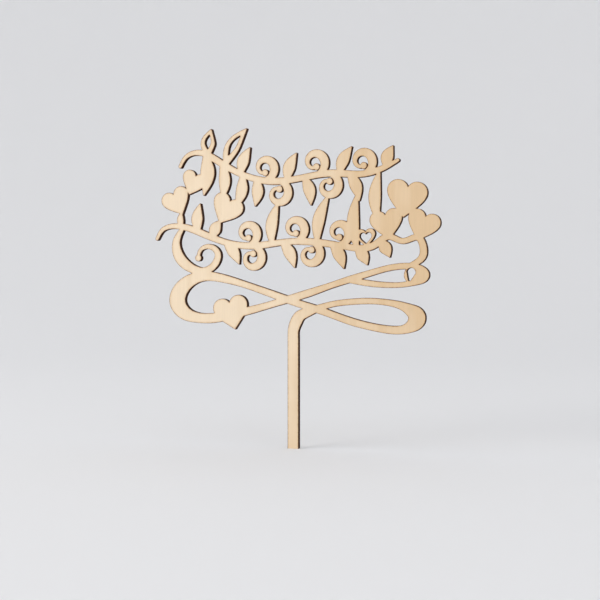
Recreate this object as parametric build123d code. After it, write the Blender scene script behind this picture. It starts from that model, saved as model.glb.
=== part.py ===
from build123d import *
import math
import os

# A flat cake topper cut from three-ply sheet: two leafy scroll rows with hearts,
# a looped flourish under them, and one stake that is pushed into a cake.
# X runs along the sheet, -Y is its front and +Z is up. The origin is on the stake's
# axis, at the level of the cake's top, halfway through the sheet. All sizes are millimetres.

# Sheet, front to back: face veneer, glue, core veneer, glue, face veneer
FACE_VENEER_THICKNESS = 0.7
CORE_VENEER_THICKNESS = 1.4
GLUE_LINE_THICKNESS = 0.1

# Stake, of which the buried length goes into the cake
STAKE_WIDTH = 5.7
STAKE_BURIED_LENGTH = 45.0
STAKE_POINT_LENGTH = 12.0
STAKE_POINT_WIDTH = 1.6

# Flourish: its lowest edge above the cake, its half length, its height and its line
FLOURISH_FOOT_HEIGHT = 58.0
FLOURISH_REACH = 67.0
FLOURISH_RISE = 34.0
FLOURISH_LINE_WIDTH = 2.7
RIGHT_LOOP_WIDTH = 9.0
LEFT_LOOP_WIDTH = 8.9
END_LOOP_WIDTH = 4.4
END_LOOP_BUD_DIAMETER = 9.4
EYELET_WIDTH = 4.4
EYELET_FOOT_WIDTH = 1.6
FLOURISH_HEART_WIDTH = 18.8

# Rows of scrollwork: each row's foot above the foot of what is under it, its half length and height
LOWER_ROW_LIFT = 30.0
LOWER_ROW_REACH = 74.0
LOWER_ROW_RISE = 33.0
UPPER_ROW_LIFT = 25.0
UPPER_ROW_REACH = 61.0
UPPER_ROW_RISE = 47.5

# Stems, curls and leaves of the rows
STEM_WIDTH = 3.7
STEM_TIP_WIDTH = 1.9
CURL_RADIUS = 6.2
CURL_WIDTH = 4.7
CURL_LINE_WIDTH = 2.0
CURL_BUD_DIAMETER = 3.5
SCROLL_WIDTH = 5.6
LEAF_LENGTH = 14.2
LEAF_WIDTH = 6.3
LEAF_ROOT_WIDTH = 2.2
LEAF_TIP_WIDTH = 0.8
TALL_LEAF_LENGTH = 22.0
TALL_LEAF_WIDTH = 7.8
TALL_LEAF_WALL = 2.3
SLIT_END_WIDTH = 0.6

# Hearts beside the rows
TOP_HEART_WIDTH = 20.2
SIDE_HEART_WIDTH = 16.5
MIDDLE_HEART_WIDTH = 17.0
OUTER_HEART_WIDTH = 15.6
SMALL_HEART_WIDTH = 13.7
RING_HEART_WIDTH = 10.0
RING_HEART_HOLE_WIDTH = 6.0

# How strokes are drawn: points for each stretch between two stations, rounds of smoothing, the share of a
# stroke that its bend is read over, and how much of the bend's radius an inner edge may take up
POINTS_PER_STRETCH = 4
SMOOTHING_ROUNDS = 40
BEND_STEP_share = 0.004
INNER_EDGE_share = 0.85

# Stake bend: along the flourish's half length, up its height, and of the stake's width
STAKE_BEND_shares = (
    (0.000, -0.100, 1.00), (0.002, 0.040, 1.00), (0.021, 0.150, 1.07), (0.053, 0.246, 0.99),
    (0.106, 0.297, 0.84))

# Flourish stations: along its half length, up its height, and how much of the loop's swell they have
RIGHT_LOOP_TOP_shares = (
    (0.175, 0.347, 0.16), (0.288, 0.415, 0.06), (0.442, 0.457, 0.07), (0.593, 0.470, 0.06),
    (0.720, 0.451, 0.07), (0.806, 0.418, 0.16), (0.887, 0.350, 0.50), (0.939, 0.232, 1.00))
RIGHT_LOOP_FOOT_shares = (
    (0.939, 0.232, 1.00), (0.885, 0.098, 0.47), (0.781, 0.056, 0.23), (0.631, 0.089, 0.17),
    (0.442, 0.176, 0.17), (0.288, 0.279, 0.15), (0.173, 0.353, 0.18), (0.055, 0.420, 0.17),
    (-0.046, 0.485, 0.18))
LEFT_LOOP_TOP_shares = (
    (-0.260, 0.626, 0.13), (-0.420, 0.726, 0.14), (-0.582, 0.805, 0.28), (-0.716, 0.829, 0.40),
    (-0.863, 0.718, 0.72), (-0.936, 0.468, 1.00))
LEFT_LOOP_FOOT_shares = (
    (-0.936, 0.468, 1.00), (-0.884, 0.288, 0.76), (-0.780, 0.209, 0.44), (-0.640, 0.203, 0.40),
    (-0.510, 0.250, 0.34), (-0.340, 0.324, 0.22), (-0.180, 0.409, 0.14), (-0.046, 0.485, 0.18))
ARM_shares = (
    (0.134, 0.590, 0.70), (0.288, 0.690, 0.30), (0.442, 0.786, 0.45), (0.593, 0.873, 0.30),
    (0.743, 0.950, 0.25), (0.860, 0.972, 0.30), (0.960, 0.935, 0.60), (1.000, 0.845, 1.00))
END_LOOP_shares = (
    (1.000, 0.845, 1.00), (0.935, 0.748, 0.40), (0.818, 0.704, 0.00), (0.706, 0.703, 0.10),
    (0.593, 0.722, 0.25), (0.430, 0.775, 0.20))
FLOURISH_HEART_share = 0.2755
END_LOOP_CLOSING_HEADING = 170

# Round join where the flourish's line is cut at the end of a loop, of the line's width there
LOOP_JOIN_share = 0.7

# Bud in the end loop: along the flourish's half length and up its height; its eyelet, of its diameter
END_LOOP_BUD_shares = (0.915, 0.845)
EYELET_shares = ((-0.12, 0.13), (-0.20, -0.22))

# Stem stations of the rows: along the row's half length, up its height, and of the stem's swell
LOWER_STEM_shares = (
    (-1.000, 0.530, 0.0), (-0.960, 0.667, 0.2), (-0.858, 0.727, 0.6), (-0.676, 0.621, 1.0),
    (-0.486, 0.464, 0.8), (-0.270, 0.410, 1.0), (-0.054, 0.464, 0.8), (0.162, 0.455, 1.0),
    (0.378, 0.382, 0.8), (0.568, 0.410, 1.0), (0.663, 0.530, 0.8), (0.757, 0.460, 0.6),
    (0.860, 0.510, 0.8), (0.893, 0.380, 1.0), (0.890, 0.235, 1.0))
UPPER_STEM_shares = (
    (-1.000, 0.620, 0.0), (-0.943, 0.726, 0.2), (-0.836, 0.764, 0.6), (-0.656, 0.663, 1.0),
    (-0.443, 0.516, 0.8), (-0.197, 0.438, 1.0), (0.066, 0.463, 0.8), (0.328, 0.505, 1.0),
    (0.590, 0.490, 0.8), (0.754, 0.543, 0.6), (0.877, 0.620, 0.0))
LOWER_STEM_SEAT_share = 0.874

# Free leaves: share along the stem, heading in degrees, and of the full leaf length
UPPER_LEAF_shares = (
    (0.395, 70, 0.98), (0.555, 70, 1.00), (0.725, 64, 1.00), (0.918, 70, 0.75),
    (0.45, -92, 0.95), (0.61, -75, 1.00))
LOWER_LEAF_shares = (
    (0.195, 86, 1.00), (0.264, -55, 0.95), (0.392, -62, 1.00), (0.500, -62, 0.95), (0.554, -55, 0.70),
    (0.620, -55, 0.65))
TALL_LEAF_shares = ((0.250, 84, 0.60), (0.33, 58, 0.98))

# Curls: share along the stem, and the side that they turn to
UPPER_CURL_shares = ((0.473, 1), (0.65, 1), (0.80, 1))
LOWER_CURL_shares = ((0.314, 1), (0.42, 1), (0.511, 1), (0.325, -1), (0.455, -1))
CURL_SWELL_shares = (0, 0.7, 1, 0.9, 0.6, 0.3, 0.1, 0, 0)
CURL_TURNS_share = 1.05
CURL_WIND_share = 0.62
CURL_FOOT_share = 0.476

# Curls that hang from the upper stem, and where on the lower stem the leaf that meets each one is rooted
HUNG_CURL_shares = ((0.525, 0.370), (0.6875, 0.469))

# Scroll that sets the lower row on the flourish: of its drop along and up, and of its swell
SCROLL_ROOT_share = 0.154
SCROLL_SEAT_share = 0.864
SCROLL_shares = (
    (-0.56, 0.70, 0.6), (-0.50, 0.40, 1.0), (-0.26, 0.18, 0.8), (0.04, 0.11, 0.5), (0.28, 0.25, 0.5),
    (0.34, 0.46, 0.4), (0.16, 0.60, 0.2), (-0.04, 0.52, 0.0), (-0.08, 0.37, 0.0))

# Leaf outline along its length, and the slit in a tall leaf
LEAF_BELLY_share = 0.42
LEAF_BOW_share = 0.08
SLIT_shares = (0.32, 0.56, 0.80)

# Heart outline, in shares of its width from its tip
HEART_SIDE_shares = ((0, 0), (0.200, 0.200), (0.478, 0.400), (0.500, 0.620))
HEART_LOBE_TOP_shares = (0.270, 0.900)
HEART_NOTCH_shares = (0, 0.755)
HEART_TIP_GRIP_shares = (0, 0.10)
HEART_BELLY_GRIP_shares = (0, 0.42)
HEART_RIGHT_LOBE_shares = (0.25, 0.66)
HEART_LEFT_LOBE_shares = (-0.25, 0.66)

# Where hearts sit on the rows: share along what carries them, and lean from upright in degrees
SIDE_HEART_shares = ((0.667, -10), (0.800, 20))
FLOURISH_HEART_LEAN = -13
TOP_HEART_LEAN = 9
TOP_HEART_GRIP_shares = (0.045, 0.040)
OUTER_HEART_LEAN = -26
OUTER_HEART_STALK_shares = (0.148, 90, 0.525)
MIDDLE_HEART_LEAN = 28
MIDDLE_HEART_LEAF_shares = (0.233, 63, 0.69)
SMALL_HEART_LEAN = 22
SMALL_HEART_LEAF_shares = (0.232, -92, 0.95)
SMALL_HEART_LEAF_GRIP_share = 0.77
SMALL_HEART_GRIP_shares = (0.50, 0.62)
RING_HEART_LEAN = -4
RING_HEART_share = 0.579
RING_HEART_GRIP_shares = (0, -0.04)

# Leaves that tie the rows together: two to the middle heart, one from a side heart, and a pair that meet
LEFT_LOBE_HANGER_share = 0.315
RIGHT_LOBE_HANGER_share = 0.40
SIDE_HEART_LEAF_SEAT_share = 0.885
LAST_TIE_shares = (0.755, -68, 1.00)
LAST_TIE_ROOT_share = 0.557
LAST_TIE_GRIP_share = 0.75


def polar(length, heading):
    """The step of a length along a heading in degrees."""
    return Vector(math.cos(math.radians(heading)), math.sin(math.radians(heading))) * length


def facing_up(face):
    return face if face.normal_at().Z > 0 else -face


class Stroke:
    """A drawn line through stations of (place, width), smooth in both."""

    def __init__(self, stations, headings=None):
        """Each station is held as one vector, with the width as its third part."""
        places = [place for place, width in stations]
        self.stations = [Vector(place.X, place.Y, width) for place, width in stations]
        self.last = len(stations) - 1
        self.spans = [(after - before).length for before, after in zip(places, places[1:])]
        self.slopes = self.settled_slopes(headings)

    def settled_slopes(self, headings):
        """Slopes at the stations that give the line no sudden change of bend."""
        chords = [(self.stations[i + 1] - self.stations[i]) * (1 / self.spans[i]) for i in range(self.last)]
        slopes = [chords[0], *chords]
        if headings:
            slopes[0] = polar(1, headings[0])
            slopes[-1] = polar(1, headings[1])
        for _ in range(SMOOTHING_ROUNDS):
            for i in range(1, self.last):
                before, after = self.spans[i - 1], self.spans[i]
                pull = (chords[i - 1] * after + chords[i] * before) * 3
                rest = slopes[i - 1] * after + slopes[i + 1] * before
                slopes[i] = (pull - rest) * (1 / (2 * (before + after)))
            if not headings:
                slopes[0] = (chords[0] * 3 - slopes[1]) * (1 / 2)
                slopes[-1] = (chords[-1] * 3 - slopes[-2]) * (1 / 2)
        return slopes

    def span_at(self, share):
        """The stretch that a share of the line falls in, and how far along it is."""
        span = min(int(share * self.last), self.last - 1)
        return span, share * self.last - span

    def place_and_width(self, share):
        i, t = self.span_at(share)
        start = self.stations[i] * (1 + 2 * t) + self.slopes[i] * (t * self.spans[i])
        end = self.stations[i + 1] * (3 - 2 * t) + self.slopes[i + 1] * ((t - 1) * self.spans[i])
        return start * (1 - t) ** 2 + end * t ** 2

    def at(self, share):
        spot = self.place_and_width(share)
        return Vector(spot.X, spot.Y)

    def width(self, share):
        return self.place_and_width(share).Z

    def heading(self, share):
        i, t = self.span_at(share)
        chord = (self.stations[i + 1] - self.stations[i]) * (6 * t * (1 - t) / self.spans[i])
        start = self.slopes[i] * ((1 - t) * (1 - 3 * t))
        end = self.slopes[i + 1] * (t * (3 * t - 2))
        direction = chord + start + end
        return math.degrees(math.atan2(direction.Y, direction.X))

    def edge_point(self, share, turn):
        """A point on one edge of the drawn line, held back where the line bends tightly to that side."""
        before = max(share - BEND_STEP_share, 0)
        after = min(share + BEND_STEP_share, 1)
        bend = math.radians((self.heading(after) - self.heading(before) + 180) % 360 - 180)
        reach = self.width(share) / 2
        if bend * turn > 0:
            reach = min(reach, INNER_EDGE_share * (self.at(after) - self.at(before)).length / abs(bend))
        return self.at(share) + polar(reach, self.heading(share) + turn)

    def side(self, turn):
        """One edge of the drawn line, a quarter turn to one side of it."""
        steps = POINTS_PER_STRETCH * self.last
        return Edge.make_spline([self.edge_point(step / steps, turn) for step in range(steps + 1)])

    def cap(self, share, is_round, outward):
        """The end of the drawn line, square or round."""
        left, right = self.edge_point(share, 90), self.edge_point(share, -90)
        if not is_round:
            return Edge.make_line(left, right)
        crown = self.at(share) + polar(outward * self.width(share) / 2, self.heading(share))
        return Edge.make_three_point_arc(left, crown, right)

    def face(self, round_start=False, round_end=False):
        start = self.cap(0, round_start, -1)
        end = self.cap(1, round_end, 1)
        return facing_up(Face(Wire([self.side(90), end, self.side(-90), start])))


def flourish_place(x_share, z_share):
    return Vector(x_share * FLOURISH_REACH, FLOURISH_FOOT_HEIGHT + z_share * FLOURISH_RISE)


def flourish_stations(shares, swell_width):
    stations = []
    for x_share, z_share, swell_share in shares:
        width = FLOURISH_LINE_WIDTH + (swell_width - FLOURISH_LINE_WIDTH) * swell_share
        stations.append((flourish_place(x_share, z_share), width))
    return stations


def stake_bend_stations():
    stations = []
    for x_share, z_share, width_share in STAKE_BEND_shares:
        stations.append((flourish_place(x_share, z_share), STAKE_WIDTH * width_share))
    return stations


def row_stations(shares, foot, reach, rise):
    stations = []
    for x_share, z_share, swell_share in shares:
        place = Vector(x_share * reach, foot + z_share * rise)
        stations.append((place, STEM_TIP_WIDTH + (STEM_WIDTH - STEM_TIP_WIDTH) * swell_share))
    return stations


def leaf(root, tip, width):
    """A pointed leaf that bows to one side."""
    run = tip - root
    belly = root + run * LEAF_BELLY_share + Vector(-run.Y, run.X) * LEAF_BOW_share
    return Stroke(((root, LEAF_ROOT_WIDTH), (belly, width), (tip, LEAF_TIP_WIDTH)))


def leaf_on(stem, shares, length, width):
    share, heading, length_share = shares
    root = stem.at(share)
    return leaf(root, root + polar(length * length_share, heading), width)


def slit(drawn_leaf):
    """The opening along the middle of a tall leaf."""
    widths = (SLIT_END_WIDTH, TALL_LEAF_WIDTH - 2 * TALL_LEAF_WALL, SLIT_END_WIDTH)
    return Stroke([(drawn_leaf.at(share), width) for share, width in zip(SLIT_shares, widths)])


def curl(stem, share, hand):
    """A tendril that leaves a stem along it and winds in on one side."""
    heading = stem.heading(share)
    centre = stem.at(share) + polar(CURL_RADIUS, heading + 90 * hand)
    last = len(CURL_SWELL_shares) - 1
    stations = []
    for number, swell_share in enumerate(CURL_SWELL_shares):
        angle = heading - 90 * hand + 360 * CURL_TURNS_share * hand * number / last
        place = centre + polar(CURL_RADIUS * (1 - CURL_WIND_share * number / last), angle)
        stations.append((place, CURL_LINE_WIDTH + (CURL_WIDTH - CURL_LINE_WIDTH) * swell_share))
    return Stroke(stations)


def scroll(root, seat):
    """The large scroll from the lower stem down to the flourish and round."""
    drop = root.Y - seat.Y
    stations = [(root, CURL_LINE_WIDTH)]
    for x_share, z_share, swell_share in SCROLL_shares:
        place = seat + Vector(x_share, z_share) * drop
        stations.append((place, CURL_LINE_WIDTH + (SCROLL_WIDTH - CURL_LINE_WIDTH) * swell_share))
    return Stroke(stations)


def bud(centre, diameter):
    return Pos(centre.X, centre.Y) * Circle(diameter / 2).face()


def eyelet(centre):
    """The drop-shaped opening in the bud of the end loop."""
    top, foot = (centre + Vector(*shares) * END_LOOP_BUD_DIAMETER for shares in EYELET_shares)
    return Stroke(((top, EYELET_WIDTH), (foot, EYELET_FOOT_WIDTH)))


class Heart:
    """A heart that leans from upright, with a point of its own frame on an anchor."""

    def __init__(self, anchor, width, lean, grip_shares):
        grip = Vector(*grip_shares) * width
        self.width = width
        self.place = Pos(anchor.X, anchor.Y) * Rot(0, 0, -lean) * Pos(-grip.X, -grip.Y)

    def at(self, shares):
        """A point of the heart, in shares of its width from its tip."""
        spot = self.place * Pos(*(Vector(*shares) * self.width))
        return Vector(spot.position.X, spot.position.Y)

    def face(self):
        right = [Vector(x_share, z_share) * self.width for x_share, z_share in HEART_SIDE_shares]
        left = [Vector(-point.X, point.Y) for point in right]
        lobe_top = Vector(*HEART_LOBE_TOP_shares) * self.width
        notch = Vector(*HEART_NOTCH_shares) * self.width
        edges = (
            Edge.make_bezier(*right),
            Edge.make_three_point_arc(right[-1], lobe_top, notch),
            Edge.make_three_point_arc(notch, Vector(-lobe_top.X, lobe_top.Y), left[-1]),
            Edge.make_bezier(*reversed(left)))
        return facing_up(self.place * Face(Wire(edges)))


def flourish():
    """The flourish as one pen line, cut at the ends of its loops."""
    right_top = stake_bend_stations() + flourish_stations(RIGHT_LOOP_TOP_shares, RIGHT_LOOP_WIDTH)
    right_foot = flourish_stations(RIGHT_LOOP_FOOT_shares, RIGHT_LOOP_WIDTH)
    left_top = flourish_stations(LEFT_LOOP_TOP_shares, LEFT_LOOP_WIDTH)
    left_foot = flourish_stations(LEFT_LOOP_FOOT_shares, LEFT_LOOP_WIDTH)
    arm = flourish_stations(ARM_shares, END_LOOP_WIDTH)
    end_loop = flourish_stations(END_LOOP_shares, END_LOOP_WIDTH)
    return (
        Stroke(right_top, (90, -90)),
        Stroke(right_foot + left_top, (-90, -90)),
        Stroke(left_foot + arm, (-90, -90)),
        Stroke(end_loop, (-90, END_LOOP_CLOSING_HEADING)))


def stake_face():
    half = STAKE_WIDTH / 2
    tip = STAKE_POINT_WIDTH / 2
    top = stake_bend_stations()[0][0].Y
    shoulder = STAKE_POINT_LENGTH - STAKE_BURIED_LENGTH
    corners = (
        (-half, top), (-half, shoulder), (-tip, -STAKE_BURIED_LENGTH),
        (tip, -STAKE_BURIED_LENGTH), (half, shoulder), (half, top))
    return facing_up(Face(Wire.make_polygon(corners)))


def flat_faces():
    """The overlapping faces that make up the sheet's outline, and the openings cut in them."""
    stake_run, crossing_run, arm_run, end_run = flourish()
    loop_bud = flourish_place(*END_LOOP_BUD_shares)
    lower_foot = FLOURISH_FOOT_HEIGHT + LOWER_ROW_LIFT
    upper_foot = lower_foot + UPPER_ROW_LIFT
    lower_stations = row_stations(LOWER_STEM_shares, lower_foot, LOWER_ROW_REACH, LOWER_ROW_RISE)
    lower_stations.append((arm_run.at(LOWER_STEM_SEAT_share), STEM_TIP_WIDTH))
    lower_stem = Stroke(lower_stations)
    upper_stem = Stroke(row_stations(UPPER_STEM_shares, upper_foot, UPPER_ROW_REACH, UPPER_ROW_RISE))

    outer_stalk = leaf_on(lower_stem, OUTER_HEART_STALK_shares, LEAF_LENGTH, STEM_WIDTH)
    middle_leaf = leaf_on(lower_stem, MIDDLE_HEART_LEAF_shares, LEAF_LENGTH, LEAF_WIDTH)
    small_leaf = leaf_on(upper_stem, SMALL_HEART_LEAF_shares, TALL_LEAF_LENGTH, TALL_LEAF_WIDTH)
    side_hearts = [Heart(lower_stem.at(share), SIDE_HEART_WIDTH, lean, HEART_TIP_GRIP_shares)
                   for share, lean in SIDE_HEART_shares]
    inner_lobes = side_hearts[0].at(HEART_RIGHT_LOBE_shares), side_hearts[1].at(HEART_LEFT_LOBE_shares)
    between = (inner_lobes[0] + inner_lobes[1]) * (1 / 2)
    top_heart = Heart(between, TOP_HEART_WIDTH, TOP_HEART_LEAN, TOP_HEART_GRIP_shares)
    middle_heart = Heart(middle_leaf.at(1), MIDDLE_HEART_WIDTH, MIDDLE_HEART_LEAN, HEART_TIP_GRIP_shares)
    ring_heart = Heart(lower_stem.at(RING_HEART_share), RING_HEART_WIDTH, RING_HEART_LEAN,
                       RING_HEART_GRIP_shares)
    hearts = [
        *side_hearts, top_heart, middle_heart, ring_heart,
        Heart(outer_stalk.at(1), OUTER_HEART_WIDTH, OUTER_HEART_LEAN, HEART_TIP_GRIP_shares),
        Heart(small_leaf.at(SMALL_HEART_LEAF_GRIP_share), SMALL_HEART_WIDTH, SMALL_HEART_LEAN,
              SMALL_HEART_GRIP_shares),
        Heart(arm_run.at(FLOURISH_HEART_share), FLOURISH_HEART_WIDTH, FLOURISH_HEART_LEAN,
              HEART_BELLY_GRIP_shares)]
    heart_hole = Heart(ring_heart.at(HEART_BELLY_GRIP_shares), RING_HEART_HOLE_WIDTH, RING_HEART_LEAN,
                       HEART_BELLY_GRIP_shares)

    hung_curls = [curl(upper_stem, share, -1) for share, root_share in HUNG_CURL_shares]
    curls = [curl(stem, share, hand)
             for stem, places in ((upper_stem, UPPER_CURL_shares), (lower_stem, LOWER_CURL_shares))
             for share, hand in places]
    curls += hung_curls
    curls.append(scroll(lower_stem.at(SCROLL_ROOT_share), crossing_run.at(SCROLL_SEAT_share)))

    tall_leaves = [leaf_on(upper_stem, shares, TALL_LEAF_LENGTH, TALL_LEAF_WIDTH)
                   for shares in TALL_LEAF_shares]
    last_tie = leaf_on(upper_stem, LAST_TIE_shares, LEAF_LENGTH, LEAF_WIDTH)
    leaves = [outer_stalk, middle_leaf, small_leaf, last_tie, *tall_leaves]
    leaves += [leaf_on(upper_stem, shares, LEAF_LENGTH, LEAF_WIDTH) for shares in UPPER_LEAF_shares]
    leaves += [leaf_on(lower_stem, shares, LEAF_LENGTH, LEAF_WIDTH) for shares in LOWER_LEAF_shares]
    leaves.append(leaf(lower_stem.at(LAST_TIE_ROOT_share), last_tie.at(LAST_TIE_GRIP_share), LEAF_WIDTH))
    side_lobe = side_hearts[0].at(HEART_LEFT_LOBE_shares)
    leaves.append(leaf(side_lobe, upper_stem.at(SIDE_HEART_LEAF_SEAT_share), LEAF_WIDTH))
    hangers = (
        (LEFT_LOBE_HANGER_share, HEART_LEFT_LOBE_shares), (RIGHT_LOBE_HANGER_share, HEART_RIGHT_LOBE_shares))
    for share, lobe_shares in hangers:
        leaves.append(leaf(upper_stem.at(share), middle_heart.at(lobe_shares), LEAF_WIDTH))
    for hung, (share, root_share) in zip(hung_curls, HUNG_CURL_shares):
        leaves.append(leaf(lower_stem.at(root_share), hung.at(CURL_FOOT_share), LEAF_WIDTH))

    faces = [stake_face(), *(run.face() for run in (stake_run, crossing_run, arm_run, end_run))]
    faces += [bud(run.at(1), run.width(1) * LOOP_JOIN_share) for run in (stake_run, crossing_run, arm_run)]
    faces.append(lower_stem.face(round_start=True))
    faces.append(upper_stem.face(round_start=True, round_end=True))
    faces += [heart.face() for heart in hearts]
    faces += [drawn.face(round_end=True) for drawn in leaves]
    faces += [drawn.face() for drawn in curls]
    faces += [bud(drawn.at(1), CURL_BUD_DIAMETER) for drawn in curls]
    faces.append(bud(loop_bud, END_LOOP_BUD_DIAMETER))
    slits = [slit(drawn) for drawn in tall_leaves] + [eyelet(loop_bud)]
    openings = [drawn.face(round_start=True, round_end=True) for drawn in slits]
    openings.append(heart_hole.face())
    return faces, openings


def plies(outline):
    """The layers of the sheet, each cut to the same outline."""
    layers = (
        ("back_veneer", FACE_VENEER_THICKNESS), ("back_glue_line", GLUE_LINE_THICKNESS),
        ("core_veneer", CORE_VENEER_THICKNESS), ("front_glue_line", GLUE_LINE_THICKNESS),
        ("front_veneer", FACE_VENEER_THICKNESS))
    back = sum(thickness for name, thickness in layers) / 2
    solids = {}
    for name, thickness in layers:
        solids[name] = extrude(Plane.XZ.offset(-back) * outline, amount=thickness)
        back -= thickness
    return solids


def main():
    os.makedirs("parts", exist_ok=True)
    faces, openings = flat_faces()
    outline = Sketch() + faces - openings
    for name, solid in plies(outline).items():
        export_step(solid, f"parts/{name}.step")


if __name__ == "__main__":
    main()
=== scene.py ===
import math

import bpy
from mathutils import Matrix, Vector, geometry, kdtree, noise


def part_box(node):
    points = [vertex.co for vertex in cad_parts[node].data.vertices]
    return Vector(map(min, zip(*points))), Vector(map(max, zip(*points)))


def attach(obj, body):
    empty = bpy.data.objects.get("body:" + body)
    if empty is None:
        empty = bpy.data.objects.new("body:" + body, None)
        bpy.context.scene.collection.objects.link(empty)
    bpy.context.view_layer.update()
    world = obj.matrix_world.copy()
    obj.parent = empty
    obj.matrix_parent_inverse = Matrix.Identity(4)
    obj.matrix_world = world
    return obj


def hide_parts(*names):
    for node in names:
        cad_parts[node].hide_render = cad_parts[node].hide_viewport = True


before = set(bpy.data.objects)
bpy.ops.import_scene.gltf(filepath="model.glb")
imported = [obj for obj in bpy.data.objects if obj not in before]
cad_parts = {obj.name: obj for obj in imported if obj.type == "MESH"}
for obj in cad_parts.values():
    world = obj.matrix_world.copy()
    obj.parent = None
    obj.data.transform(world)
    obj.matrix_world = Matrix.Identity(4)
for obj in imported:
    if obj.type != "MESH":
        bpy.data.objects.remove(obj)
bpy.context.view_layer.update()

# A laser-cut plywood cake topper in soft studio light. The veneers are rebuilt on the outlines of
# the CAD layers, with softened and rippled cut edges. They carry each point's distance from the cut,
# which drives the scorch of the laser.
# Units are metres. X runs along the sheet, -Y is its front and +Z is up along the stake.
MM = 0.001

# Outlines: their steps, the turn that makes a corner, how front faces face, and the sharpest miter
OUTLINE_STEP = 0.4 * MM
CORNER_TURN = math.radians(25)
FRONT_FACING = -0.9
SHARPEST_MITER = 0.3

# Cut edge: the softened arris of a face, the ripples that the beam left, and the hollow of the core
ARRIS_INSET = 0.10 * MM
ARRIS_ROUND_INSET = 0.03 * MM
ARRIS_DEPTH = 0.12 * MM
RIPPLE_DEPTH = 0.035 * MM
RIPPLE_LENGTH = 0.55 * MM
RIPPLE_DRIFT = 1.6 * MM
CORE_HOLLOW = 0.03 * MM
CORE_HOLLOW_shares = (0, 0.7, 1, 0.7, 0)

# Rows of points on a face, by their distance from the cut, their spacing, and when two points are one
FACE_ROW_OFFSETS = (0.28 * MM, 0.55 * MM, 0.95 * MM, 1.5 * MM)
ROW_SPACING_share = 0.75
ROW_TOLERANCE_share = 0.96
MERGING_DISTANCE = 1e-9

# Edges that shade as sharp
SHARP_ANGLE = math.radians(50)

# The sRGB curve: the top and slope of its straight foot, and its offset and power above that
TONE_FULL = 255
TONE_FOOT = 0.04045
TONE_FOOT_SLOPE = 12.92
TONE_OFFSET = 0.055
TONE_POWER = 2.4

# Tones of wood, char, glue and floor, as sRGB values from 0 to 255. The tan wood is partly the wood's
# own tone and partly painted shade
PALE_WOOD = (235, 215, 187)
TAN_AND_SHADED_WOOD = (218, 189, 151)
TOASTED_WOOD = (213, 177, 130)
SCORCH = (146, 96, 60)
CHAR_LIGHT = (84, 47, 25)
CHAR_DARK = (36, 17, 8)
GLUE_DARK = (24, 13, 8)
GLUE_LIGHT = (66, 38, 22)
FLOOR_TONE = (226, 226, 227)

# The sheet's colour drifts from pale at its left to a darker tan at its right. This is partly the
# wood's own tone and partly painted shade, where the light from the left falls off
TONE_AND_SHADE_SPAN = (-0.030, 0.058)
BAND_DRIFT = (-0.16, 0.16)
BLOTCH_DRIFT = (-0.12, 0.12)

# Grain that runs up the sheet: features to a metre, along X, Y and Z, and what they do to the tone
BAND_GRAIN = (130, 130, 7)
BLOTCH_GRAIN = (38, 38, 26)
FIBRE_GRAIN = (1500, 1500, 42)
PORE_GRAIN = (7500, 7500, 420)
FIBRE_SHADES = (0.978, 1.014)
PORE_SPAN = (0.66, 0.78)
PORE_SHADE = 0.08
PORE_DEPTH_share = 0.7

# Burn beside the cut, by millimetres from it, and how far it wavers
WAVER_GRAIN = (900, 900, 900)
WAVER_REACH = (-0.09, 0.09)
TOAST_SPAN = (0.25, 1.3)
TOAST_STRENGTH = (0.42, 0.0)
SCORCH_SPAN = (0.10, 0.36)
SCORCH_STRENGTH = (0.9, 0.0)

# Burn of the rings along a face's edge, from the flat face to the cut
RIM_BURN = 0.35
ARRIS_BURN = 0.85
CUT_BURN = 1.0

# Char: streaks and patches to a millimetre of the cut's run and a metre of its depth, and beads of glue
STREAK_GRAIN = (3.2, 420)
PATCH_GRAIN = (0.12, 300)
STREAK_TONES = (0.0, 0.65)
PATCH_TONES = (-0.1, 0.35)
BEAD_GRAIN = (1800, 1800, 1800)

# Roughness, gloss and bump of the finishes
WOOD_ROUGHNESS = (0.66, 0.56)
CHAR_ROUGHNESS = (0.95, 0.80)
CHAR_ROUGHENING = 0.25
GLUE_ROUGHNESS = (0.70, 0.50)
WOOD_GLOSS = 0.22
CHAR_GLOSS = 0.12
BUMP_STRENGTH = 0.35
BUMP_DEPTH = 0.04 * MM

# Soft noise: where it mostly lies and where its middle does, and its kinds by detail and roughness
CLOUD_SPAN = (0.3, 0.7)
CLOUD_MIDDLE = (0.35, 0.65)
PLAIN_CLOUDS = (1.0, 0.5)
SOFT_CLOUDS = (2.0, 0.5)
ROUGH_CLOUDS = (3.0, 0.6)
FIBROUS_CLOUDS = (4.0, 0.6)

# Shifts that give each use of the same noise a place of its own
FRONT_SEED = 0.0
BACK_SEED = 37.0
CORE_SEED = 9.0
STREAK_SEED = 0.0
PATCH_SEED = 4.0

# Camera: turn and tilt, its place and range, and its focal length in pixels of a 600-pixel picture
CAMERA_TURN = math.radians(18)
CAMERA_TILT = math.radians(1)
CAMERA_PLACE = Vector((0.1945, -0.5887, 0.0851))
CAMERA_RANGE = (0.01, 50)
FOCAL_PIXELS = 1240
PICTURE_PIXELS = 600
SENSOR_WIDTH_MM = 36

# Floor: a wide shallow bowl, flat under the topper
FLOOR_RADIUS = 0.7
FLOOR_CURVE_RADIUS = 2.2
FLOOR_WALL_HEIGHT = 2.4
FLOOR_SIDES = 96
FLOOR_CURVE_STEPS = 32
FLOOR_ROUGHNESS = 0.9

# Studio: the sky, and square softboxes by place, side, power in watts and colour, all with one aim
SKY_COLOUR = (0.97, 0.98, 1.0, 1.0)
SKY_STRENGTH = 0.94
LIGHT_AIM = Vector((0.0, 0.0, 0.10))
SOFTBOXES = {
    "key": (Vector((-1.5, -1.6, 0.55)), 1.6, 46.0, (1.0, 0.985, 0.96)),
    "fill": (Vector((0.9, -1.1, 0.9)), 1.2, 1.5, (1.0, 1.0, 1.0)),
}


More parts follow.
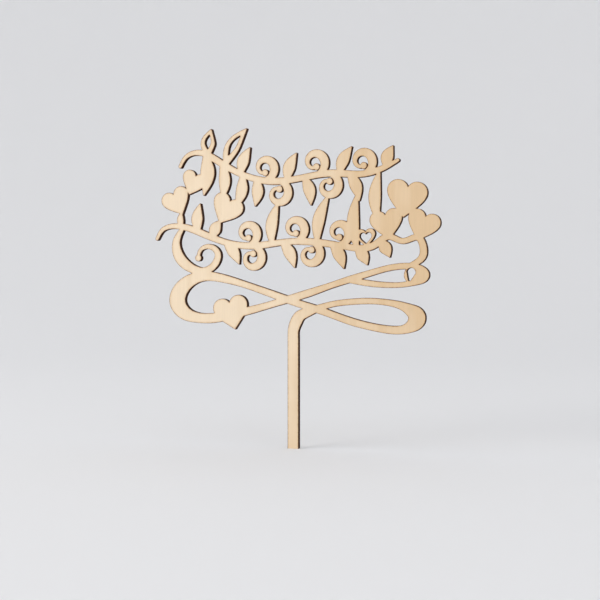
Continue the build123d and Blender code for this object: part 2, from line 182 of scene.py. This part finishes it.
def linear(tone):
    """The linear colour of an sRGB tone, with full alpha."""
    bent = []
    for value in tone:
        share = value / TONE_FULL
        if share <= TONE_FOOT:
            bent.append(share / TONE_FOOT_SLOPE)
        else:
            bent.append(((share + TONE_OFFSET) / (1 + TONE_OFFSET)) ** TONE_POWER)
    return (*bent, 1.0)


class Outline:
    """One closed cut of the sheet in even steps, seen from the front with the wood on its left."""

    def __init__(self, corners, start):
        self.points = evenly_spaced(corners)
        self.inward = self.inward_steps()
        self.runs = [start]
        for before, after in zip(self.points, self.points[1:]):
            self.runs.append(self.runs[-1] + (after - before).length)
        self.end = self.runs[-1] + (self.points[0] - self.points[-1]).length

    def inward_steps(self):
        """For each point, the step that takes it one unit in from both edges beside it."""
        steps = []
        before = self.points[-1]
        for spot, after in zip(self.points, self.points[1:] + self.points[:1]):
            first = left_of(spot - before)
            second = left_of(after - spot)
            steps.append((first + second) / max(1 + first.dot(second), SHARPEST_MITER))
            before = spot
        return steps

    def ring(self, inset, ripple, depth):
        """The outline moved into the wood, rippled along its run."""
        points = []
        for spot, step, run in zip(self.points, self.inward, self.runs):
            wave = noise.noise((run / RIPPLE_LENGTH, depth / RIPPLE_DRIFT, 0))
            points.append(spot + step * (inset + ripple * (wave + 1) / 2))
        return points


def left_of(direction):
    return Vector((-direction.y, direction.x)).normalized()


def evenly_spaced(corners):
    """A closed outline in even steps that keep its corners."""
    count = len(corners)
    ways = [corners[(i + 1) % count] - corners[i] for i in range(count)]
    sharp = [i for i in range(count) if ways[i - 1].angle(ways[i], 0) > CORNER_TURN] or [0]
    points = []
    for start, end in zip(sharp, sharp[1:] + [sharp[0] + count]):
        run = [corners[i % count] for i in range(start, end + 1)]
        points += stepped(run)
    return points


def stepped(run):
    """Even points along an open run, without its last one."""
    lengths = [(after - before).length for before, after in zip(run, run[1:])]
    steps = max(round(sum(lengths) / OUTLINE_STEP), 1)
    points = []
    piece, passed = 0, 0.0
    for step in range(steps):
        target = sum(lengths) * step / steps
        while piece < len(lengths) - 1 and passed + lengths[piece] < target:
            passed += lengths[piece]
            piece += 1
        points.append(run[piece].lerp(run[piece + 1], (target - passed) / lengths[piece]))
    return points


def outlines_of(node):
    """The closed outlines of a flat CAD layer's front face."""
    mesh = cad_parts[node].data
    edges = {}
    for face in mesh.polygons:
        if face.normal.y < FRONT_FACING:
            spots = [(mesh.vertices[i].co.x, mesh.vertices[i].co.z) for i in face.vertices]
            edges.update(dict.fromkeys(zip(spots, spots[1:] + spots[:1])))
    following = {start: end for start, end in edges if (end, start) not in edges}
    outlines = []
    run = 0.0
    while following:
        first, spot = following.popitem()
        corners = [Vector(first)]
        while spot != first:
            corners.append(Vector(spot))
            spot = following.pop(spot)
        outlines.append(Outline(corners, run))
        run = outlines[-1].end
    return outlines


def inside_of(edges, triangles):
    """The triangles on the left of closed outlines, found by spreading from their edges."""
    owners = {}
    for triangle in triangles:
        for start, end in zip(triangle, triangle[1:] + triangle[:1]):
            owners[start, end] = triangle
    border = set(edges)
    waiting = [owners[edge] for edge in edges if edge in owners]
    inside = {}
    while waiting:
        triangle = waiting.pop()
        if tuple(triangle) in inside:
            continue
        inside[tuple(triangle)] = triangle
        for start, end in zip(triangle, triangle[1:] + triangle[:1]):
            if (start, end) not in border and (end, start) in owners:
                waiting.append(owners[end, start])
    return inside.values()


class FacePoints:
    """Points inside the sheet's outline, each with its distance from the cut."""

    def __init__(self, outlines):
        cut = [spot for outline in outlines for spot in outline.points]
        self.cut = kdtree.KDTree(len(cut))
        for number, spot in enumerate(cut):
            self.cut.insert((spot.x, spot.y, 0), number)
        self.cut.balance()
        self.taken = set()
        self.points = []
        self.distances = []
        for offset in FACE_ROW_OFFSETS:
            for outline in outlines:
                for spot, step in zip(outline.points, outline.inward):
                    self.offer(spot + step.normalized() * offset, offset, offset * ROW_SPACING_share)

    def offer(self, spot, offset, spacing):
        """Takes a point if it is as far from every cut as it should be, and has room."""
        place = (round(spot.x / spacing), round(spot.y / spacing), offset)
        distance = self.cut.find((spot.x, spot.y, 0))[2]
        if distance > offset * ROW_TOLERANCE_share and place not in self.taken:
            self.taken.add(place)
            self.points.append(spot)
            self.distances.append(distance)


class Layer:
    """The mesh of one layer of the sheet, from rings along its cut and two faces."""

    def __init__(self, outlines):
        self.outlines = outlines
        self.vertices = []
        self.faces = []
        self.distances = []
        self.runs = []
        self.burns = []

    def add_vertex(self, spot, depth, distance, run, burn):
        self.vertices.append((spot.x, depth, spot.y))
        self.distances.append(distance / MM)
        self.runs.append(run / MM)
        self.burns.append(burn)

    def add_ring(self, depth, inset, ripple, burn):
        """A ring of vertices round every outline. Returns the number of its first vertex."""
        first = len(self.vertices)
        for outline in self.outlines:
            for spot, run in zip(outline.ring(inset, ripple, depth), outline.runs):
                self.add_vertex(spot, depth, inset, run, burn)
        return first

    def add_wall(self, front, back):
        """The band of faces between two rings."""
        offset = 0
        for outline in self.outlines:
            count = len(outline.points)
            for i in range(count):
                here, after = offset + i, offset + (i + 1) % count
                self.faces.append((front + here, back + here, back + after, front + after))
            offset += count

    def add_face(self, ring, depth, facing_front, inner=None):
        """The flat face inside a ring, with any inner points."""
        count = sum(len(outline.points) for outline in self.outlines)
        numbers = list(range(ring, ring + count))
        spots = [Vector((self.vertices[i][0], self.vertices[i][2])) for i in numbers]
        edges = []
        offset = 0
        for outline in self.outlines:
            size = len(outline.points)
            edges += [(offset + i, offset + (i + 1) % size) for i in range(size)]
            offset += size
        if inner:
            for spot, distance in zip(inner.points, inner.distances):
                numbers.append(len(self.vertices))
                spots.append(spot)
                self.add_vertex(spot, depth, distance, 0, 0)
        _, _, triangles, sources, _, _ = geometry.delaunay_2d_cdt(spots, edges, [], 0, MERGING_DISTANCE)
        triangles = [[sources[i][0] for i in triangle] for triangle in triangles]
        for triangle in inside_of(edges, triangles):
            corners = [numbers[i] for i in triangle]
            self.faces.append(corners if facing_front else corners[::-1])

    def place(self, name, node, slot, material):
        """Puts the layer into the scene in place of a CAD layer."""
        mesh = bpy.data.meshes.new(name)
        mesh.from_pydata(self.vertices, [], self.faces)
        carried = {"cut_distance": self.distances, "cut_run": self.runs, "burn": self.burns}
        for label, values in carried.items():
            mesh.attributes.new(label, "FLOAT", "POINT").data.foreach_set("value", values)
        mesh.polygons.foreach_set("use_smooth", [True] * len(mesh.polygons))
        mesh.set_sharp_from_angle(angle=SHARP_ANGLE)
        mesh.materials.append(material)
        piece = bpy.data.objects.new(name, mesh)
        bpy.context.scene.collection.objects.link(piece)
        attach(piece, "root")
        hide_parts(node)


def face_veneer(name, node, outlines, inner, material):
    """A face veneer, with its softened arris on the side that shows."""
    low, high = (corner.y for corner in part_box(node))
    is_front = low < -high
    outer, glued = (low, high) if is_front else (high, low)
    inward = 1 if is_front else -1
    layer = Layer(outlines)
    rim = layer.add_ring(outer, ARRIS_INSET, 0, RIM_BURN)
    arris_depth = outer + inward * ARRIS_ROUND_INSET
    arris = layer.add_ring(arris_depth, ARRIS_ROUND_INSET, RIPPLE_DEPTH, ARRIS_BURN)
    edge = layer.add_ring(outer + inward * ARRIS_DEPTH, 0, RIPPLE_DEPTH, CUT_BURN)
    middle = layer.add_ring((outer + glued) / 2, 0, RIPPLE_DEPTH, CUT_BURN)
    seat = layer.add_ring(glued, 0, RIPPLE_DEPTH, CUT_BURN)
    rings = [rim, arris, edge, middle, seat]
    for outside, inside in zip(rings, rings[1:]):
        if is_front:
            layer.add_wall(outside, inside)
        else:
            layer.add_wall(inside, outside)
    layer.add_face(rim, outer, is_front, inner)
    layer.add_face(seat, glued, not is_front)
    layer.place(name, node, "face_veneer", material)


def core_veneer(name, node, outlines, material):
    """The core, which the beam hollowed a little between the glue lines."""
    front, back = (corner.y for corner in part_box(node))
    layer = Layer(outlines)
    steps = len(CORE_HOLLOW_shares) - 1
    rings = []
    for step, hollow_share in enumerate(CORE_HOLLOW_shares):
        depth = front + (back - front) * step / steps
        rings.append(layer.add_ring(depth, CORE_HOLLOW * hollow_share, RIPPLE_DEPTH, CUT_BURN))
    for before, after in zip(rings, rings[1:]):
        layer.add_wall(before, after)
    layer.add_face(rings[0], front, True)
    layer.add_face(rings[-1], back, False)
    layer.place(name, node, "core_veneer", material)


class Finish:
    """A procedural material and a short way to wire its nodes."""

    def __init__(self, name):
        self.material = bpy.data.materials.new(name)
        self.material.use_nodes = True
        self.tree = self.material.node_tree
        self.shader = self.tree.nodes["Principled BSDF"]

    def feed(self, socket, value):
        """Links a socket to another node's output, or sets a constant on it."""
        if isinstance(value, bpy.types.NodeSocket):
            self.tree.links.new(value, socket)
        else:
            socket.default_value = value

    def node(self, kind, inputs, output=0, **settings):
        node = self.tree.nodes.new(kind)
        for name, value in settings.items():
            setattr(node, name, value)
        for key, value in inputs.items():
            self.feed(node.inputs[key], value)
        return node.outputs[output]

    def place(self):
        return self.node("ShaderNodeTexCoord", {}, "Object")

    def carried(self, label):
        """A value that the mesh carries."""
        return self.node("ShaderNodeAttribute", {}, "Fac", attribute_name=label)

    def scaled(self, vector, scale, shift=(0, 0, 0)):
        return self.node("ShaderNodeMapping", {"Vector": vector, "Scale": scale, "Location": shift})

    def clouds(self, vector, kind):
        """Soft noise whose features are one unit of the vector in size."""
        detail, roughness = kind
        inputs = {"Vector": vector, "Scale": 1.0, "Detail": detail, "Roughness": roughness}
        return self.node("ShaderNodeTexNoise", inputs)

    def maths(self, operation, first, second=0.0):
        return self.node("ShaderNodeMath", {0: first, 1: second}, operation=operation)

    def ranged(self, value, span, to=(0.0, 1.0)):
        """A value eased from one span to another."""
        low, high = span
        inputs = {"Value": value, "From Min": low, "From Max": high, "To Min": to[0], "To Max": to[1]}
        return self.node("ShaderNodeMapRange", inputs, interpolation_type="SMOOTHSTEP")

    def blended(self, share, first, second):
        """Two values mixed, by the mix node's sockets for values."""
        return self.node("ShaderNodeMix", {0: share, 2: first, 3: second}, data_type="FLOAT")

    def mixed(self, share, first, second):
        """Two colours mixed, by the mix node's sockets for colours."""
        return self.node("ShaderNodeMix", {0: share, 6: first, 7: second}, 2, data_type="RGBA")

    def shaded(self, colour, amount):
        """A colour made lighter or darker by a factor."""
        return self.node("ShaderNodeVectorMath", {0: colour, "Scale": amount}, operation="SCALE")

    def combined(self, x, y, z):
        return self.node("ShaderNodeCombineXYZ", {0: x, 1: y, 2: z})

    def settled(self, colour, roughness, height, gloss):
        """The material, with its colour, roughness and bump wired to the shader."""
        bump = {"Strength": BUMP_STRENGTH, "Distance": BUMP_DEPTH, "Height": height}
        self.feed(self.shader.inputs["Base Color"], colour)
        self.feed(self.shader.inputs["Roughness"], roughness)
        self.feed(self.shader.inputs["Specular IOR Level"], gloss)
        self.feed(self.shader.inputs["Normal"], self.node("ShaderNodeBump", bump))
        return self.material


def grain(finish, seed):
    """The bare face of the veneer, with painted shade that darkens it towards its right. Returns its
    colour and the height of its fibres.
    """
    place = finish.place()
    across = finish.node("ShaderNodeSeparateXYZ", {0: place}, "X")
    bands = finish.clouds(finish.scaled(place, BAND_GRAIN, (seed, 0, 0)), SOFT_CLOUDS)
    fibres = finish.clouds(finish.scaled(place, FIBRE_GRAIN, (0, seed, 0)), FIBROUS_CLOUDS)
    pores = finish.clouds(finish.scaled(place, PORE_GRAIN, (0, 0, seed)), PLAIN_CLOUDS)
    blotches = finish.clouds(finish.scaled(place, BLOTCH_GRAIN, (seed, seed, 0)), SOFT_CLOUDS)

    # Painted shade and the wood's own tone: tan and darker towards the right, with random bands and
    # blotches of tone
    tone_and_shade_drift = finish.ranged(across, TONE_AND_SHADE_SPAN)
    tone_and_shade_drift = finish.maths("ADD", tone_and_shade_drift, finish.ranged(bands, CLOUD_MIDDLE, BAND_DRIFT))
    tone_and_shade_drift = finish.maths("ADD", tone_and_shade_drift, finish.ranged(blotches, CLOUD_MIDDLE, BLOTCH_DRIFT))
    colour = finish.mixed(tone_and_shade_drift, linear(PALE_WOOD), linear(TAN_AND_SHADED_WOOD))
    pore = finish.ranged(pores, PORE_SPAN)
    light = finish.ranged(fibres, CLOUD_SPAN, FIBRE_SHADES)
    light = finish.maths("SUBTRACT", light, finish.maths("MULTIPLY", pore, PORE_SHADE))
    height = finish.maths("SUBTRACT", fibres, finish.maths("MULTIPLY", pore, PORE_DEPTH_share))
    return finish.shaded(colour, light), height


def char(finish):
    """The burnt cut. Returns its colour and the height of its streaks, which run through the sheet."""
    run = finish.carried("cut_run")
    depth = finish.node("ShaderNodeSeparateXYZ", {0: finish.place()}, "Y")

    def along_cut(grain_of_run, grain_of_depth, seed):
        across = finish.maths("MULTIPLY", run, grain_of_run)
        return finish.combined(across, finish.maths("MULTIPLY", depth, grain_of_depth), seed)

    streaks = finish.clouds(along_cut(*STREAK_GRAIN, STREAK_SEED), ROUGH_CLOUDS)
    patches = finish.clouds(along_cut(*PATCH_GRAIN, PATCH_SEED), SOFT_CLOUDS)
    tone = finish.maths("ADD", finish.ranged(streaks, CLOUD_SPAN, STREAK_TONES),
                        finish.ranged(patches, CLOUD_SPAN, PATCH_TONES))
    return finish.mixed(tone, linear(CHAR_DARK), linear(CHAR_LIGHT)), streaks


def veneer_finish(name, seed):
    """Pale sanded wood with a toasted border, a thin scorch line and charred cuts."""
    finish = Finish(name)
    wood, fibres = grain(finish, seed)
    burnt, streaks = char(finish)
    burn = finish.carried("burn")
    waver = finish.clouds(finish.scaled(finish.place(), WAVER_GRAIN, (seed, 0, 0)), SOFT_CLOUDS)
    waver = finish.ranged(waver, CLOUD_SPAN, WAVER_REACH)
    distance = finish.maths("ADD", finish.carried("cut_distance"), waver)
    toast = finish.ranged(distance, TOAST_SPAN, TOAST_STRENGTH)
    scorch = finish.ranged(distance, SCORCH_SPAN, SCORCH_STRENGTH)
    colour = finish.mixed(toast, wood, linear(TOASTED_WOOD))
    colour = finish.mixed(scorch, colour, linear(SCORCH))
    colour = finish.mixed(burn, colour, burnt)
    rough = finish.ranged(fibres, CLOUD_SPAN, WOOD_ROUGHNESS)
    rough = finish.maths("ADD", rough, finish.maths("MULTIPLY", burn, CHAR_ROUGHENING))
    height = finish.blended(burn, fibres, streaks)
    return finish.settled(colour, rough, height, WOOD_GLOSS)


def core_finish():
    """The core veneer, charred all over where the beam cut it."""
    finish = Finish("charred_core")
    burnt, streaks = char(finish)
    wood, _ = grain(finish, CORE_SEED)
    colour = finish.mixed(finish.carried("burn"), wood, burnt)
    rough = finish.ranged(streaks, CLOUD_SPAN, CHAR_ROUGHNESS)
    return finish.settled(colour, rough, streaks, CHAR_GLOSS)


def glue_finish():
    """Cured glue, burnt nearly black with a few paler beads."""
    finish = Finish("burnt_glue")
    beads = finish.clouds(finish.scaled(finish.place(), BEAD_GRAIN), ROUGH_CLOUDS)
    colour = finish.mixed(finish.ranged(beads, CLOUD_SPAN), linear(GLUE_DARK), linear(GLUE_LIGHT))
    rough = finish.ranged(beads, CLOUD_SPAN, GLUE_ROUGHNESS)
    return finish.settled(colour, rough, beads, CHAR_GLOSS)


def dress_topper():
    outlines = outlines_of("front_veneer")
    inner = FacePoints(outlines)
    front = veneer_finish("front_birch", FRONT_SEED)
    back = veneer_finish("back_birch", BACK_SEED)
    face_veneer("front_face_veneer", "front_veneer", outlines, inner, front)
    face_veneer("back_face_veneer", "back_veneer", outlines, inner, back)
    core_veneer("charred_core_veneer", "core_veneer", outlines, core_finish())
    glue = glue_finish()
    for node in ("front_glue_line", "back_glue_line"):
        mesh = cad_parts[node].data
        mesh.materials.clear()
        mesh.materials.append(glue)


def lay_floor():
    """A pale floor that curves up into a wall all round."""
    profile = [(0.0, 0.0), (FLOOR_RADIUS, 0.0)]
    for step in range(1, FLOOR_CURVE_STEPS + 1):
        angle = math.pi / 2 * step / FLOOR_CURVE_STEPS
        radius = FLOOR_RADIUS + FLOOR_CURVE_RADIUS * math.sin(angle)
        profile.append((radius, FLOOR_CURVE_RADIUS * (1 - math.cos(angle))))
    profile.append((profile[-1][0], FLOOR_WALL_HEIGHT))
    vertices = [(0.0, 0.0, 0.0)]
    for radius, height in profile[1:]:
        for side in range(FLOOR_SIDES):
            angle = 2 * math.pi * side / FLOOR_SIDES
            vertices.append((radius * math.cos(angle), radius * math.sin(angle), height))
    faces = [(0, 1 + side, 1 + (side + 1) % FLOOR_SIDES) for side in range(FLOOR_SIDES)]
    for ring in range(len(profile) - 2):
        first = 1 + ring * FLOOR_SIDES
        for side in range(FLOOR_SIDES):
            after = (side + 1) % FLOOR_SIDES
            above = first + FLOOR_SIDES
            faces.append((first + side, above + side, above + after, first + after))
    mesh = bpy.data.meshes.new("floor")
    mesh.from_pydata(vertices, [], faces)
    mesh.polygons.foreach_set("use_smooth", [True] * len(faces))
    finish = Finish("floor_paint")
    finish.feed(finish.shader.inputs["Base Color"], linear(FLOOR_TONE))
    finish.feed(finish.shader.inputs["Roughness"], FLOOR_ROUGHNESS)
    mesh.materials.append(finish.material)
    floor = bpy.data.objects.new("floor", mesh)
    bpy.context.scene.collection.objects.link(floor)


def add_softbox(name, place, side, power, colour):
    light = bpy.data.lights.new(name, "AREA")
    light.shape = "SQUARE"
    light.size = side
    light.energy = power
    light.color = colour
    lamp = bpy.data.objects.new(name, light)
    lamp.location = place
    lamp.rotation_euler = (LIGHT_AIM - place).to_track_quat("-Z", "Y").to_euler()
    lamp.visible_camera = False
    bpy.context.scene.collection.objects.link(lamp)


def light_studio():
    world = bpy.data.worlds.new("studio")
    bpy.context.scene.world = world
    world.use_nodes = True
    sky = world.node_tree.nodes["Background"]
    sky.inputs["Color"].default_value = SKY_COLOUR
    sky.inputs["Strength"].default_value = SKY_STRENGTH
    for name, settings in SOFTBOXES.items():
        add_softbox(name, *settings)


def set_camera():
    data = bpy.data.cameras.new("camera")
    data.sensor_width = SENSOR_WIDTH_MM
    data.lens = FOCAL_PIXELS / PICTURE_PIXELS * SENSOR_WIDTH_MM
    data.clip_start, data.clip_end = CAMERA_RANGE
    camera = bpy.data.objects.new("camera", data)
    turn = Matrix.Rotation(CAMERA_TURN, 4, "Z")
    tilt = Matrix.Rotation(math.pi / 2 - CAMERA_TILT, 4, "X")
    camera.matrix_world = Matrix.Translation(CAMERA_PLACE) @ turn @ tilt
    bpy.context.scene.collection.objects.link(camera)
    bpy.context.scene.camera = camera


dress_topper()
lay_floor()
light_studio()
set_camera()
bpy.context.scene.view_settings.view_transform = "Standard"
